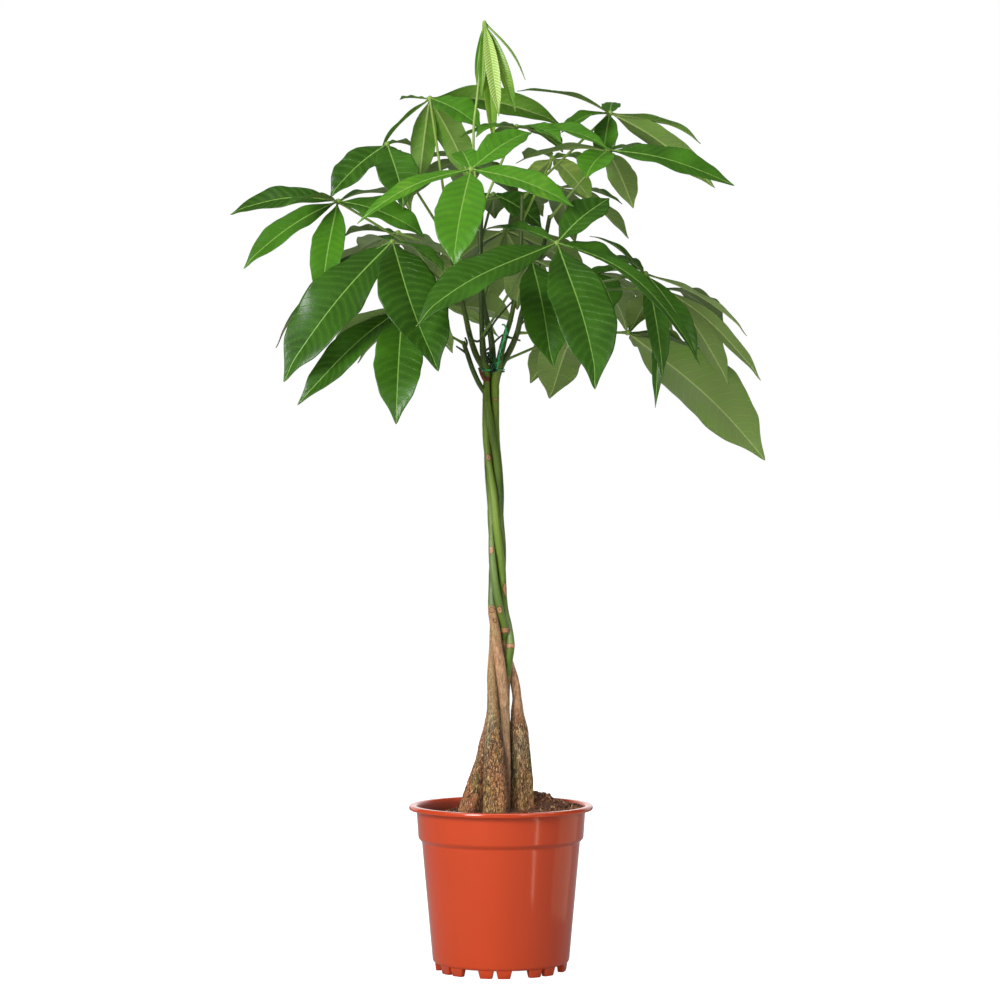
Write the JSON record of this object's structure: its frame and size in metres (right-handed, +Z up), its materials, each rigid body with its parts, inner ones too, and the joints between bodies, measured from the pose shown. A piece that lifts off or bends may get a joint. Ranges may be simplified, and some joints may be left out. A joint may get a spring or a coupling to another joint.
{
  "type": "potted money tree",
  "caption": "Money tree with a plaited trunk of slim stems on swollen feet, fans of drooping leaflets on long stalks, and an orange-red nursery pot.",
  "frame": {"origin": "on the ground, under the middle of the plant's bounding box, which is the middle of the pot to within 3 mm", "axes": "+Z up along the trunk, -Y towards the front of the plant as pictured, +X to the viewer's right"},
  "size_m": [0.5583, 0.4562, 0.9792],
  "materials": {
    "pot": "smooth moulded orange-red plastic, glossy",
    "soil": "loose potting mix of peat and coir, matt",
    "stem": "bark, tan and fissured below, smooth green above",
    "leaf": "waxy green leaf, glossy above and duller below",
    "tie": "plastic-coated wire, dark green"
  },
  "bodies": {
    "root": {"pot": "pot", "soil": "soil", "stem_1": "stem", "stem_2": "stem", "stem_3": "stem", "stem_4": "stem", "stem_5": "stem", "leaf_01": "leaf", "leaf_02": "leaf", "leaf_03": "leaf", "leaf_04": "leaf", "leaf_05": "leaf", "leaf_06": "leaf", "leaf_07": "leaf", "leaf_08": "leaf", "leaf_09": "leaf", "leaf_10": "leaf", "leaf_11": "leaf", "leaf_12": "leaf", "leaf_13": "leaf", "leaf_14": "leaf", "leaf_15": "leaf", "leaf_16": "leaf", "leaf_17": "leaf", "leaf_18": "leaf", "leaf_19": "leaf", "leaf_20": "leaf", "leaf_21": "leaf", "leaf_22": "leaf", "leaf_23": "leaf", "leaf_24": "leaf", "wire_tie": "tie"}
  },
  "joints": []
}
